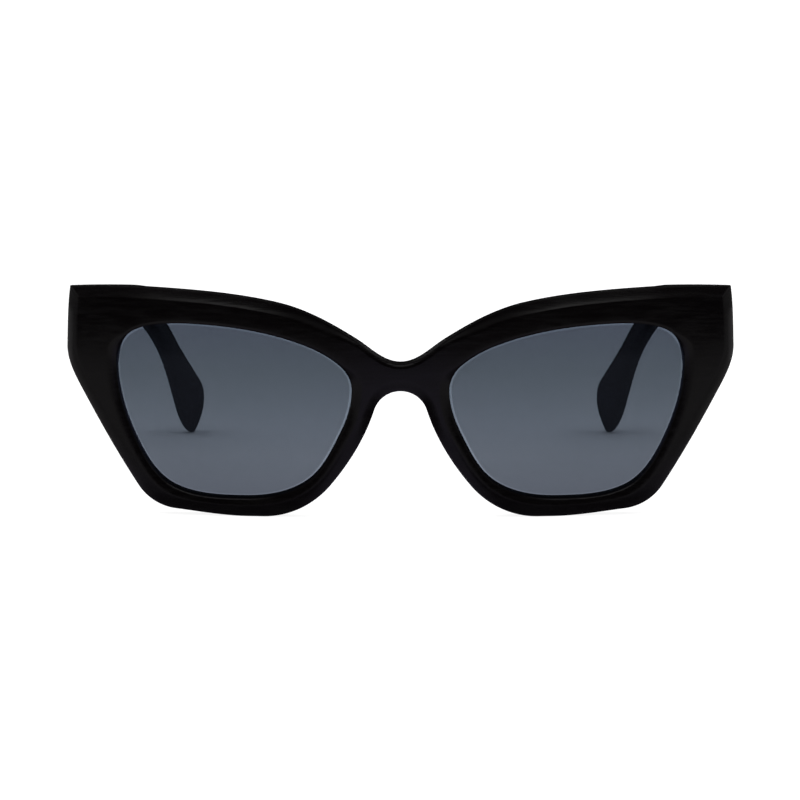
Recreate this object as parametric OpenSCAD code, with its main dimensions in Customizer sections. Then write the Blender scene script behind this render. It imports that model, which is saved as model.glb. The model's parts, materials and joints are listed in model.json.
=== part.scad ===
// Cat eye sunglasses: a thick moulded front, two tinted lenses, bonded nose pads,
// and two temples on five-knuckle hinges.
// The front faces -Y and the temples run towards +Y. Left is the wearer's left, at +X.
// Z = 0 is the table that the lower rims and the temple tips stand on.

/* [Front] */
// Overall width of the front
front_w = 146.8; // [143.8:0.5:149.8]
// Height of the front, from the table to the brow
front_h = 50; // [49:0.1:51]
// Thickness of the rims, front to back
rim_t = 5.6; // [5:0.1:6]
// Radius of the front's forward curve
curve_r = 265; // [255:5:285]
// Depth from the foremost point to the flat backs of the end pieces
end_depth = 17; // [16.8:0.1:17.6]

/* [Lenses] */
// Thickness of the lenses
lens_t = 2; // [1.8:0.1:2.2]
// How far the lens edge stands into the rim
bevel = 0.6; // [0.4:0.05:0.7]
// Thickness of the lens edge where it sits in the rim
bevel_t = 0.9; // [0.7:0.1:1.1]

/* [Temples] */
// Length along a temple, from its butt to its tip
temple_l = 145; // [143:0.5:146]
// Thickness of a temple at its butt
temple_t = 4.6; // [4.4:0.1:5]
// Thickness of a temple at its tip
tip_t = 3.6; // [3.2:0.1:4]
// Angle that the temples lean inwards, in degrees
toe_in = 1.6; // [1.4:0.1:1.8]
// Downward slope of the straight part, in degrees
pitch = 4; // [3.8:0.05:4]
// Extra downward bend over the ear, in degrees
ear_bend = 47.2; // [44.2:0.5:47.2]
// Inward bend of the tips, in degrees
tip_bend = 25.2; // [22.2:0.5:25.2]
// Radius of the steel core wire
wire_r = 0.7; // [0.6:0.05:0.8]

/* [Hinges] */
// Height of the five knuckles together
hinge_h = 7; // [6.6:0.1:7.2]
// Outside radius of the knuckles
knuckle_r = 1.45; // [1.4:0.05:1.5]
// Radius of the screw shank
screw_r = 0.7; // [0.6:0.05:0.75]
// Thickness of the hinge plates
plate_t = 1; // [0.9:0.05:1.1]

/* [Nose pads] */
// How far the pads stand behind the rims
pad_reach = 5.8; // [5.4:0.1:6.4]
// Angle that the bearing faces open towards the nose, in degrees
pad_splay = 22; // [18:1:26]

/* [Hidden] */

// Assembly gaps: bonded or pressed seats, and the radial running gap of the hinges
seat_gap = 0.05;
run_gap = 0.05;
// Size against the size at which the outlines are drawn
drawn_w = 146.8;
drawn_h = 50;
drawn_l = 145;
kx = front_w / drawn_w;
kz = front_h / drawn_h;
// Largest turn of an outline between two of its points, in degrees
step_angle = 6;
// Facets of the large balls and of the small round parts
ball_fn = 360;
round_fn = 48;

// Centre of the three concentric curves: front surface, lens and back of the rims
curve_z = 25 * kz;
lens_inset = 2.6;
lens_r = curve_r - lens_inset;
back_r = curve_r - rim_t;

// Flat-backed end pieces that carry the hinges
block_x = 59.2 * kx;
block_z = 34.3 * kz;
block_flank = 4;
block_front = 8;

// Hinge pin axes
hinge_x = 64.45 * kx;
hinge_y = end_depth + 2.2;
hinge_z = 43.4 * kz;
knuckles = 5;
knuckle_h = (hinge_h - (knuckles - 1) * seat_gap) / knuckles;
knuckle_step = knuckle_h + seat_gap;
hinge_base = hinge_z - hinge_h / 2;
bore_r = screw_r + run_gap;
head_r = 1.1;
head_h = 0.7;
stud_r = 0.6;
front_stud_l = 3;
temple_stud_l = 2;
slot_w = 0.3;
thread_step = 0.35;
thread_depth = 0.12;
screw_lift = 0.15;
web_half = 1.2;
front_plate_w = 4.2;
temple_plate_l = 11;
// Studs: place on each plate, and spread on the front one as a share of the hinge's height
front_stud_x = 1.6;
front_stud_spread = 0.3;
temple_stud_y = [3.5, 8];
temple_stud_rise = 2;
// The temple plate starts this far ahead of the pin
plate_lead = 1.5;

// Temple path: it starts on the butt plane, beside the hinge pin
butt_gap = 0.05;
pin_offset = 1.7;
temple_x = hinge_x + pin_offset + temple_t / 2;
temple_y = end_depth + butt_gap;
temple_z = 42.35 * kz;
ear_start = 85;
ear_end = 116.3;
tip_start = 89.4;
tip_end = 128;
tip_round = 9;
// Rounding of the temple's edges, at most this share of its height or thickness
edge_r = 1.6;
edge_share = 0.42;
long_stations = 18;
round_stations = 7;
wire_start = 1.5;
wire_end = 128;
wire_steps = 22;

// ---- curves ----

function heading(a) = [cos(a), sin(a)];

// Points of the span between two anchors [x, z, heading in, heading out], without its end
function span(p, q) =
    let (a = p[0], b = q[0], turn = q[1] - p[2], chord = norm(b - a),
         reach = chord / (3 * pow(cos(turn / 4), 2)),
         n = turn == 0 ? 1 : max(3, ceil(abs(turn) / step_angle)),
         c = a + reach * heading(p[2]), d = b - reach * heading(q[1]))
    [for (i = [0:n - 1]) let (t = i / n, u = 1 - t)
        u * u * u * a + 3 * u * u * t * c + 3 * u * t * t * d + t * t * t * b];

// An anchor with one heading is smooth, and one with two is a corner
function anchor(v) = [[v[0] * kx, v[1] * kz], v[2], len(v) > 3 ? v[3] : v[2]];

function path(anchors) =
    [for (i = [0:len(anchors) - 2]) each span(anchor(anchors[i]), anchor(anchors[i + 1]))];

// Moves each point of a closed, clockwise outline outwards by d
function offset_points(pts, d) =
    let (n = len(pts))
    [for (i = [0:n - 1]) let (t = pts[(i + 1) % n] - pts[(i + n - 1) % n])
        pts[i] + d * [-t[1], t[0]] / norm(t)];

function smooth(t) = let (c = min(1, max(0, t))) c * c * (3 - 2 * c);

// Right half of the front, clockwise from the top of the bridge to the nose arch
half_front = [
    [0, 34, 0],
    [9.6, 39, 32],
    [26.8, 46.8, 12.6],
    [51.7, 49.7, 3.1],
    [72.7, 49.9, -2, -82],
    [73.4, 37.2, -88],
    [70, 27.2, -118.6],
    [57.7, 6.4, -122.7],
    [49.4, 1.35, -174.6],
    [33.5, 0, -180],
    [30, 0, -180],
    [15.3, 7.1, -230],
    [5.7, 23.8, -252],
    [0, 27.9, -180]];

// Opening for the left lens, clockwise
lens_anchors = [
    [20.3, 37.6, 21.3],
    [44, 42.2, 3.2],
    [56.9, 41.25, -15.8],
    [62.2, 34.1, -89.3],
    [57.6, 15.8, -116],
    [49.1, 6.1, -156.7],
    [34, 4.1, -180.3],
    [20.6, 7.7, -215],
    [13, 18.75, -243.5],
    [10.6, 28, -268.8],
    [13.7, 33.9, -322],
    [20.3, 37.6, -338.7]];

arch_top = half_front[len(half_front) - 1];
front_half_points = concat(path(half_front), [[arch_top[0] * kx, arch_top[1] * kz]]);
front_outline = concat(front_half_points,
    [for (i = [len(front_half_points) - 2:-1:1])
        [-front_half_points[i][0], front_half_points[i][1]]]);
lens_outline = path(lens_anchors);

// ---- shared shapes ----

module centred() {
    translate([0, -depth / 2, 0]) children();
}

// Builds its children for the left side, or mirrored for the right
module side(left) {
    mirror([left ? 0 : 1, 0, 0]) children();
}

// Prism with an X-Z outline, from y0 to y1
module prism(pts, y0, y1) {
    translate([0, y1, 0]) rotate([90, 0, 0])
        linear_extrude(height = y1 - y0) polygon(pts);
}

module ball(r) {
    translate([0, curve_r, curve_z]) sphere(r = r, $fn = ball_fn);
}

module shell(r, t) {
    difference() {
        ball(r + t / 2);
        ball(r - t / 2);
    }
}

// Lens solid: a curved disc with a thinner edge all round, both larger by grow
module lens_body(grow) {
    intersection() {
        prism(offset_points(lens_outline, grow), -2, end_depth);
        shell(lens_r, lens_t);
    }
    intersection() {
        prism(offset_points(lens_outline, grow + bevel), -2, end_depth);
        shell(lens_r, bevel_t + 2 * max(0, grow + seat_gap));
    }
}

// ---- front ----

module end_zones() {
    for (s = [0, 1]) mirror([s, 0, 0]) translate([0, 0, block_z])
        linear_extrude(height = front_h)
            polygon([[block_x - block_flank, block_front], [block_x, end_depth + 1],
                     [front_w, end_depth + 1], [front_w, block_front]]);
}

module front_blank() {
    difference() {
        intersection() {
            prism(front_outline, -2, end_depth);
            ball(curve_r);
        }
        difference() {
            ball(back_r);
            end_zones();
        }
    }
}

module lens_seat() {
    prism(lens_outline, -2, end_depth + 1);
    intersection() {
        prism(offset_points(lens_outline, bevel), -2, end_depth);
        shell(lens_r, bevel_t + 2 * seat_gap);
    }
}

module front_frame() {
    color([0.06, 0.055, 0.06]) centred() difference() {
        front_blank();
        for (left = [true, false]) side(left) {
            lens_seat();
            front_plate(seat_gap);
        }
    }
}

module lens(left) {
    color([0.33, 0.36, 0.4, 0.75]) centred() side(left) lens_body(-seat_gap);
}

// ---- nose pads ----

pad_low = [15.3 * kx, 7.1 * kz];
pad_high = [5.7 * kx, 23.8 * kz];
pad_lean = atan2(pad_low[0] - pad_high[0], pad_high[1] - pad_low[1]);
pad_mid = (pad_low + pad_high) / 2;
pad_front = 4.5;
pad_back = rim_t + pad_reach;
pad_base_w = 3.4;
pad_edge_w = 1.2;
pad_inset = -0.15;
pad_round_r = 8.5;

// Wedge along the nasal rim, with one flat side towards the nose
module nose_pad(left) {
    edge = (pad_back - pad_front) * tan(pad_splay);
    root = (pad_front - rim_t) * tan(pad_splay);
    color([0.07, 0.065, 0.07]) centred() side(left) intersection() {
        translate([pad_mid[0], 0, pad_mid[1]]) rotate([0, -pad_lean, 0])
            translate([pad_inset, 0, 0]) intersection() {
                linear_extrude(height = 4 * pad_round_r, center = true)
                    polygon([[root, pad_front], [root + edge, pad_back],
                             [root + edge + pad_edge_w, pad_back], [pad_base_w, pad_front]]);
                translate([0, pad_back - pad_round_r, 0]) rotate([0, 90, 0])
                    cylinder(r = pad_round_r, h = 40, center = true, $fn = 180);
            }
        ball(back_r - seat_gap / 2);
    }
}

// ---- hinges ----

module at_hinge() {
    translate([hinge_x, hinge_y, 0]) children();
}

// Plate let into the back of the end piece, with two studs; grow makes its pocket
module front_plate(grow) {
    low = hinge_x - front_plate_w;
    translate([low - grow, end_depth - plate_t - grow, hinge_base - grow])
        cube([front_plate_w + web_half + 2 * grow, plate_t + grow + (grow > 0 ? 1 : 0),
              hinge_h + 2 * grow]);
    for (z = [-1, 1])
        translate([low + front_stud_x, end_depth - plate_t / 2,
                   hinge_z + z * hinge_h * front_stud_spread])
            rotate([90, 0, 0])
                cylinder(r = stud_r + grow, h = front_stud_l + grow, $fn = round_fn);
}

// Knuckle number k, counted from the bottom
module knuckle(k) {
    translate([0, 0, hinge_base + k * knuckle_step])
        cylinder(r = knuckle_r, h = knuckle_h, $fn = round_fn);
}

module front_hinge(left) {
    color([0.62, 0.6, 0.56]) centred() side(left) difference() {
        union() {
            front_plate(0);
            at_hinge() for (k = [0, 2, 4]) {
                knuckle(k);
                translate([-web_half, end_depth - hinge_y - plate_t / 2,
                           hinge_base + k * knuckle_step])
                    cube([2 * web_half, hinge_y - end_depth + plate_t / 2, knuckle_h]);
            }
        }
        at_hinge() {
            translate([0, 0, hinge_base - 1])
                cylinder(r = bore_r, h = hinge_h + 2, $fn = round_fn);
            translate([0, 0, hinge_base + hinge_h - head_h - seat_gap])
                cylinder(r = head_r + seat_gap, h = head_h + 1, $fn = round_fn);
        }
    }
}

// Plate let into the inner face of the temple, with two studs; grow makes its pocket,
// which also reaches out through that face
module temple_plate(grow) {
    face = hinge_face();
    at_hinge() rotate([0, 0, toe_in]) {
        translate([face - 4 * grow, -plate_lead - grow, hinge_base - grow])
            cube([plate_t + 5 * grow, temple_plate_l + 2 * grow, hinge_h + 2 * grow]);
        for (y = temple_stud_y)
            translate([face + plate_t / 2, y, hinge_z + temple_stud_rise])
                rotate([0, 90, 0])
                    cylinder(r = stud_r + grow, h = temple_stud_l + grow, $fn = round_fn);
    }
}

// Distance from the hinge pin to the inner face of the temple
function hinge_face() = pin_offset * cos(toe_in) - (hinge_y - temple_y) * sin(toe_in);

module temple_hinge(left) {
    color([0.62, 0.6, 0.56]) centred() side(left) difference() {
        union() {
            temple_plate(0);
            at_hinge() rotate([0, 0, toe_in]) for (k = [1, 3]) {
                knuckle(k);
                translate([0, -web_half, hinge_base + k * knuckle_step])
                    cube([hinge_face() + plate_t / 2, 2 * web_half, knuckle_h]);
            }
        }
        at_hinge() translate([0, 0, hinge_base - 1])
            cylinder(r = bore_r, h = hinge_h + 2, $fn = round_fn);
    }
}

module hinge_screw(left) {
    top = hinge_base + hinge_h;
    color([0.72, 0.71, 0.69]) centred() side(left) at_hinge() difference() {
        union() {
            translate([0, 0, hinge_base + screw_lift])
                cylinder(r = screw_r, h = hinge_h - screw_lift - head_h / 2, $fn = round_fn);
            translate([0, 0, top - head_h]) cylinder(r = head_r, h = head_h, $fn = round_fn);
        }
        translate([-head_r - 1, -slot_w / 2, top - head_h / 2])
            cube([2 * head_r + 2, slot_w, head_h]);
        for (i = [1:3]) translate([0, 0, hinge_base + i * thread_step])
            rotate_extrude($fn = round_fn)
                polygon([[screw_r - thread_depth, thread_depth], [screw_r + 0.1, 0],
                         [screw_r + 0.1, 2 * thread_depth]]);
    }
}

// ---- temples ----

// Side and plan headings at distance s along the temple
function fall(s) = -(pitch + ear_bend * smooth((s - ear_start) / (ear_end - ear_start)));
function inward(s) = toe_in + tip_bend * smooth((s - tip_start) / (tip_end - tip_start));
function temple_dir(s) =
    [-cos(fall(s)) * sin(inward(s)), cos(fall(s)) * cos(inward(s)), sin(fall(s))];

// Guide line of the temple, a point about every millimetre
line_n = 145;
line_step = temple_l / line_n;
guide_line = [for (i = 0, p = [temple_x, temple_y, temple_z]; i <= line_n;
    p = p + line_step * temple_dir((i + 0.5) * line_step), i = i + 1) p];
function guide_at(s) =
    let (f = min(line_n - 0.001, max(0, s / line_step)), i = floor(f))
    s < 0 ? guide_line[0] + s * temple_dir(0)
          : guide_line[i] + (f - i) * (guide_line[i + 1] - guide_line[i]);

// Distance along the temple, its height there, and its middle's rise above the guide line:
// it narrows to the ear, then widens into a paddle that leans back
profile = [[0, 13, 0], [60, 9.4, 0], [90, 7.1, 0], [118.4, 6.2, 5.6], [145, 13.1, 4.8]];
function profile_at(s) =
    let (k = s * drawn_l / temple_l,
         i = max([for (j = [0:len(profile) - 2]) if (k >= profile[j][0] || j == 0) j]),
         a = profile[i], b = profile[i + 1])
    a + (b - a) * smooth((k - a[0]) / (b[0] - a[0]));

// The tip closes in a quarter ellipse
function tip_scale(s) =
    let (t = max(0, (s - temple_l + tip_round) / tip_round)) max(0.12, sqrt(1 - t * t));

// Rounded rectangle, four points to a corner
function section(w, h, r) =
    [for (q = [[1, 1, 0], [-1, 1, 90], [-1, -1, 180], [1, -1, 270]]) for (a = [0:30:90])
        [q[0] * (w / 2 - r) + r * cos(q[2] + a), q[1] * (h / 2 - r) + r * sin(q[2] + a)]];
function round_section(r) = [for (a = [0:36:324]) [r * cos(a), r * sin(a)]];

// Places a section at s; a butt section lies flat in the butt plane
function ring(s, butt, pts) =
    let (d = butt ? [0, 1, 0] : temple_dir(s),
         across = [d[1], -d[0], 0] / norm([d[0], d[1]]), up = cross(across, d),
         c = guide_at(s) + profile_at(s)[2] * tip_scale(s) * up)
    [for (p = pts) c + p[0] * across + p[1] * up];

// Stations along the straight and the bend, then closer together round the tip
function body_stations() =
    concat([for (i = [0:long_stations - 1]) (temple_l - tip_round) * i / long_stations],
           [for (i = [0:round_stations])
               temple_l - tip_round + tip_round * sin(90 * i / round_stations)]);
function body_rings() =
    [for (s = body_stations())
        let (w = temple_t + (tip_t - temple_t) * s / temple_l,
             h = profile_at(s)[1] * tip_scale(s))
        ring(s, s == 0, section(w, h, min(edge_r, edge_share * h, edge_share * w)))];
wire_stations = [for (i = [0:wire_steps]) wire_start + (wire_end - wire_start) * i / wire_steps];
function wire_rings(stations, r) = [for (s = stations) ring(s, false, round_section(r))];

// Depth of the whole part, used to centre it front to back
depth = max([for (p = body_rings()) for (q = p) q[1]]);

module swept(rings) {
    n = len(rings[0]);
    m = len(rings);
    points = [for (r = rings) each r];
    walls = [for (i = [0:m - 2]) for (j = [0:n - 1])
        let (a = i * n + j, b = i * n + (j + 1) % n)
        each [[a, b, b + n], [a, b + n, a + n]]];
    caps = [[for (j = [n - 1:-1:0]) j], [for (j = [0:n - 1]) (m - 1) * n + j]];
    polyhedron(points = points, faces = concat(walls, caps), convexity = 4);
}

module temple(left) {
    color([0.06, 0.055, 0.06]) centred() side(left) difference() {
        swept(body_rings());
        swept(wire_rings(concat([-1], wire_stations, [wire_end + 1]), wire_r + seat_gap));
        temple_plate(seat_gap);
    }
}

module core_wire(left) {
    color([0.7, 0.71, 0.72]) centred() side(left)
        swept(wire_rings(wire_stations, wire_r));
}

front_frame();
lens(true);  // left_lens
lens(false);  // right_lens
nose_pad(true);  // left_nose_pad
nose_pad(false);  // right_nose_pad
front_hinge(true);  // left_front_hinge
front_hinge(false);  // right_front_hinge
hinge_screw(true);  // left_hinge_screw
hinge_screw(false);  // right_hinge_screw
temple(true);  // left_temple
temple(false);  // right_temple
core_wire(true);  // left_core_wire
core_wire(false);  // right_core_wire
temple_hinge(true);  // left_temple_hinge
temple_hinge(false);  // right_temple_hinge
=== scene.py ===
"""Looks for the cat eye sunglasses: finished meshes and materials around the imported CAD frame.

Shapes are worked out in millimetres and written to Blender in metres. Outlines lie in the X-Z
plane, the front faces -Y, and depth is measured back from the front's foremost point.
"""
import json
import math

import bmesh
import bpy
import numpy as np
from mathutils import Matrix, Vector, geometry


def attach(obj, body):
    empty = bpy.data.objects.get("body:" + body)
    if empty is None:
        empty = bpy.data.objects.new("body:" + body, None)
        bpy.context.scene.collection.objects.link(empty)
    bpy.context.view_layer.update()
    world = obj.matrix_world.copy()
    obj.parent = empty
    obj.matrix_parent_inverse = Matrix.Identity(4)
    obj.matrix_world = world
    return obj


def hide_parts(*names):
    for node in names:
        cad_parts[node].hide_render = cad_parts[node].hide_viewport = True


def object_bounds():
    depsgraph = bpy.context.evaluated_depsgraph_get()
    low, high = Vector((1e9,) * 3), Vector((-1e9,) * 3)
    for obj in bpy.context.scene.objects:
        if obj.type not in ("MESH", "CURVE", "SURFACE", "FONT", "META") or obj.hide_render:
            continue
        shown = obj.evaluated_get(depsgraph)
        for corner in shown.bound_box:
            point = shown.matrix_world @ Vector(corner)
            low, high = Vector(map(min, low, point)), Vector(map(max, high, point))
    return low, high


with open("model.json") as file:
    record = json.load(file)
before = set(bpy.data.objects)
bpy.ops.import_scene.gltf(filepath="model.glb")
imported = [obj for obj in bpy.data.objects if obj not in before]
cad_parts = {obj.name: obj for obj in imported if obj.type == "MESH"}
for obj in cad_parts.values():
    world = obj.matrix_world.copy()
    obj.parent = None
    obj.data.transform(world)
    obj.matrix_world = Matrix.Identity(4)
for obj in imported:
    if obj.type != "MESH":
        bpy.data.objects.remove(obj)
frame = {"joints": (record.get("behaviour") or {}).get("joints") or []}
cad_low, cad_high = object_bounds()

# -------------------------------- sizes, in millimetres

MM = 0.001
SIDES = {"left": 1, "right": -1}

# Concentric curves of the front, as in the CAD: its face, its back and the middle of the lenses
CURVE_R = 265.0
CURVE_Z = 25.0
RIM_T = 5.6
LENS_DEPTH = 2.6
LENS_T = 2.0
BACK_R = CURVE_R - RIM_T
LENS_R = CURVE_R - LENS_DEPTH

# The flat backs of the end pieces: their depth, and where and how fast the rims thicken to them
END_DEPTH = 17.0
END_X, END_X_EASE = 55.2, 4.0
END_Z, END_Z_EASE = 32.1, 3.4

# The left hinge pin comes from the frame's joints. The right one mirrors it, and the front and the
# temples are placed from it
PIN = {j["child"]: [v / MM for v in j["pos_m"]] for j in frame["joints"]}
PIN_X, PIN_Y, PIN_Z = PIN["left_arm"]
PIN_BEHIND_END = 2.2
PIN_DEPTH = END_DEPTH + PIN_BEHIND_END
FRONT_Y = PIN_Y - PIN_DEPTH

# Left half of the front, clockwise from the top of the bridge: x, z, heading in, heading out.
# Left is the wearer's, at +X, and clockwise is as seen from the front
HALF_FRONT = [
    (0, 34, 0, 0),
    (9.6, 39, 32, 32),
    (26.8, 46.8, 12.6, 12.6),
    (51.7, 49.7, 3.1, 3.1),
    (72.7, 49.9, -2, -82),
    (73.4, 37.2, -88, -88),
    (70, 27.2, -118.6, -118.6),
    (57.7, 6.4, -122.7, -122.7),
    (49.4, 1.35, -174.6, -174.6),
    (33.5, 0, -180, -180),
    (30, 0, -180, -180),
    (15.3, 7.1, -230, -230),
    (5.7, 23.8, -252, -252),
    (0, 27.9, -180, -180),
]
CORNER_ANCHOR = 4
# The stretch of it that carries a nose pad
NOSE_RIM = HALF_FRONT[-3:-1]

# Opening for the left lens, clockwise
LENS_LOOP = [
    (20.3, 37.6, 21.3, 21.3),
    (44, 42.2, 3.2, 3.2),
    (56.9, 41.25, -15.8, -15.8),
    (62.2, 34.1, -89.3, -89.3),
    (57.6, 15.8, -116, -116),
    (49.1, 6.1, -156.7, -156.7),
    (34, 4.1, -180.3, -180.3),
    (20.6, 7.7, -215, -215),
    (13, 18.75, -243.5, -243.5),
    (10.6, 28, -268.8, -268.8),
    (13.7, 33.9, -322, -322),
    (20.3, 37.6, -338.7, -338.7),
]

# Spacing of the points along the outlines and across the front's face
POINT_GAP = 0.55
FILL_GAP = 1.1


# -------------------------------- curves

def smooth(t):
    """0 below 0, 1 above 1, and a smooth step between."""
    t = np.clip(t, 0.0, 1.0)
    return t * t * (3 - 2 * t)


def mix(a, b, t):
    """a where t is 0, b where t is 1."""
    return a + (b - a) * t


def heading(angle):
    """Unit vector at an angle in degrees."""
    return np.array([math.cos(math.radians(angle)), math.sin(math.radians(angle))])


def span(p, q, steps=60):
    """Bezier points between two anchors, without the last; its reach follows the turn."""
    a, b = np.array(p[:2], float), np.array(q[:2], float)
    turn = math.radians(q[2] - p[3])
    reach = np.linalg.norm(b - a) / (3 * math.cos(turn / 4) ** 2)
    c, d = a + reach * heading(p[3]), b - reach * heading(q[2])
    t = (np.arange(steps) / steps)[:, None]
    u = 1 - t
    return u ** 3 * a + 3 * u * u * t * c + 3 * u * t * t * d + t ** 3 * b


def path(anchors):
    """Points along the curve through a list of anchors."""
    spans = [span(p, q) for p, q in zip(anchors, anchors[1:])]
    return np.vstack(spans + [np.array([anchors[-1][:2]], float)])


def even(points, gap):
    """The same curve with evenly spaced points, both ends kept."""
    s = np.r_[0, np.cumsum(np.linalg.norm(np.diff(points, axis=0), axis=1))]
    n = max(2, round(s[-1] / gap))
    t = np.linspace(0, s[-1], n + 1)
    return np.stack([np.interp(t, s, points[:, k]) for k in (0, 1)], axis=1)


def tangents(loop):
    """Unit direction of travel at each point of a closed loop."""
    t = np.roll(loop, -1, axis=0) - np.roll(loop, 1, axis=0)
    return t / np.linalg.norm(t, axis=1)[:, None]


def nearest(points, others):
    """Distance from each point to the nearest of the others."""
    return np.array([np.sqrt(((others - p) ** 2).sum(1).min()) for p in points])


def blurred(values, width):
    """Running mean round a closed loop."""
    padded = np.concatenate([values[-width:], values, values[:width]])
    kernel = np.ones(2 * width + 1) / (2 * width + 1)
    return np.convolve(padded, kernel, mode="same")[width:-width]


def inside(points, loop):
    """Which points lie inside a closed loop."""
    x, y = points[:, 0][:, None], points[:, 1][:, None]
    a, b = loop, np.roll(loop, -1, axis=0)
    crosses = (a[:, 1] > y) != (b[:, 1] > y)
    with np.errstate(divide="ignore", invalid="ignore"):
        at = a[:, 0] + (y - a[:, 1]) * (b[:, 0] - a[:, 0]) / (b[:, 1] - a[:, 1])
    return (crosses & (x < at)).sum(1) % 2 == 1


def ball_depth(x, z, r):
    """Depth of the ball of radius r, concentric with the front's curve, at x, z."""
    return CURVE_R - np.sqrt(r * r - x * x - (z - CURVE_Z) ** 2)


# -------------------------------- mesh helpers

def make_object(name, points, faces, sharp=35.0):
    """A closed mesh from millimetre points, shaded smooth but for its sharp edges."""
    mesh = bpy.data.meshes.new(name)
    mesh.from_pydata([tuple(p) for p in np.asarray(points, float) * MM], [], faces)
    bm = bmesh.new()
    bm.from_mesh(mesh)
    bmesh.ops.recalc_face_normals(bm, faces=bm.faces)
    bm.to_mesh(mesh)
    bm.free()
    obj = bpy.data.objects.new(name, mesh)
    bpy.context.scene.collection.objects.link(obj)
    soften(obj, sharp)
    return obj


def soften(obj, sharp):
    """Smooth shading but for edges sharper than an angle in degrees."""
    obj.data.polygons.foreach_set("use_smooth", [True] * len(obj.data.polygons))
    obj.data.set_sharp_from_angle(angle=math.radians(sharp))


def boolean(obj, cutter, operation="DIFFERENCE", sharp=35.0):
    """Cuts or joins cutter into obj and removes cutter."""
    modifier = obj.modifiers.new("boolean", "BOOLEAN")
    modifier.operation = operation
    modifier.solver = "EXACT"
    modifier.object = cutter
    depsgraph = bpy.context.evaluated_depsgraph_get()
    result = bpy.data.meshes.new_from_object(obj.evaluated_get(depsgraph))
    obj.modifiers.remove(modifier)
    obj.data = result
    result.name = obj.name
    bpy.data.objects.remove(cutter)
    soften(obj, sharp)
    return obj


def band(ring_a, ring_b, n):
    """Quads between two closed rings of n points that start at these indices."""
    return [(ring_a + i, ring_a + (i + 1) % n, ring_b + (i + 1) % n, ring_b + i) for i in range(n)]


def swept(rings):
    """Faces that skin a list of equal rings and cap both ends, with all their points."""
    n = len(rings[0])
    faces = []
    for i in range(len(rings) - 1):
        faces += band(i * n, (i + 1) * n, n)
    faces.append(tuple(range(n))[::-1])
    faces.append(tuple((len(rings) - 1) * n + i for i in range(n)))
    return np.vstack(rings), faces


def fill(boundary, holes, gap):
    """Points and triangles filling a loop but not its holes; boundary points come first."""
    loops = [boundary] + holes
    lows, highs = boundary.min(0), boundary.max(0)
    row_gap = gap * math.sqrt(3) / 2
    grid = []
    for k, z in enumerate(np.arange(lows[1] + gap / 2, highs[1], row_gap)):
        for x in np.arange(0.5 * gap * (k % 2), highs[0], gap):
            grid += [(x, z), (-x, z)] if x > 0 else [(x, z)]
    grid = np.array(grid)
    keep = inside(grid, boundary)
    for hole in holes:
        keep &= ~inside(grid, hole)
    grid = grid[keep]
    edge_points = np.vstack(loops)
    grid = grid[nearest(grid, edge_points) > 0.55 * gap]
    points = np.vstack([edge_points, grid])
    edges, start = [], 0
    for loop in loops:
        edges += [(start + i, start + (i + 1) % len(loop)) for i in range(len(loop))]
        start += len(loop)
    found = geometry.delaunay_2d_cdt([Vector(p) for p in points], edges, [], 0, 1e-6)
    if len(found[0]) != len(points):
        raise RuntimeError("the fill's loops cross")
    origin = [ids[0] for ids in found[3]]
    triangles = np.array([[origin[v] for v in face] for face in found[2]])
    middles = points[triangles].mean(1)
    keep = inside(middles, boundary)
    for hole in holes:
        keep &= ~inside(middles, hole)
    return grid, triangles[keep]


# -------------------------------- outlines

def front_loop():
    """Closed outline of the front from its left upper corner, and the index of its right one."""
    below = even(path(HALF_FRONT[CORNER_ANCHOR:]), POINT_GAP)
    above = even(path(HALF_FRONT[:CORNER_ANCHOR + 1]), POINT_GAP)
    flip = np.array([-1, 1])
    bottom = np.vstack([below, (below * flip)[::-1][1:]])
    top = np.vstack([(above * flip)[::-1], above[1:]])
    loop = np.vstack([bottom[:-1], top[:-1]])
    return loop, len(bottom) - 1


def inward_slides(loop, second_corner, reach=6.0):
    """Inward direction at each point; near a corner it leans along the edge, so offsets mitre."""
    t = tangents(loop)
    inward = np.stack([t[:, 1], -t[:, 0]], axis=1)
    n = len(loop)
    for corner in (0, second_corner):
        before = loop[corner] - loop[(corner - 1) % n]
        after = loop[(corner + 1) % n] - loop[corner]
        turn = math.acos(before @ after / np.linalg.norm(before) / np.linalg.norm(after))
        cot = 1 / math.tan((math.pi - turn) / 2)
        a = after / np.linalg.norm(after)
        inward[corner] = np.array([a[1], -a[0]]) + cot * a
        for way in (1, -1):
            k, distance = 1, POINT_GAP
            while distance < reach:
                i = (corner + way * k) % n
                inward[i] = inward[i] + way * t[i] * cot * (1 - distance / reach)
                k += 1
                distance += POINT_GAP
    return inward


OUTLINE, FAR_CORNER = front_loop()
LEFT_LENS = even(path(LENS_LOOP), POINT_GAP)[:-1]
RIGHT_LENS = (LEFT_LENS * [-1, 1])[::-1]


def outward(loop):
    """Unit direction out of a clockwise loop at each of its points."""
    t = tangents(loop)
    return np.stack([-t[:, 1], t[:, 0]], axis=1)


# -------------------------------- front frame

# Fillet along the edges, and how far in from an edge its rings lie
FILLET = 0.3
FILLET_STEPS = [0, 0.04, 0.12, 0.27]
# Rings across a bevel and down the outer wall, as shares of its width and depth
BEVEL_STEPS = [0.28, 0.42, 0.58, 0.72, 0.83, 0.91, 0.96, 1.0]
WALL_STEPS = [0.1, 0.35, 0.65, 0.9]
# The V groove round each lens opening
GROOVE_DEPTH = 0.62
GROOVE_HALF = 0.6
# How far the end pieces' upper edge is eased down at the back, and from which height
END_EASE = 0.12
END_TOP, END_TOP_EASE = 46.0, 3.0
# Widths of the bevels round the outside and round each lens
RIM_BEVEL, BROW_BEVEL, BRIDGE_BEVEL = 2.6, 2.4, 1.2
LENS_RIM_BEVEL, LENS_BROW_BEVEL = 2.3, 0.7
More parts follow.
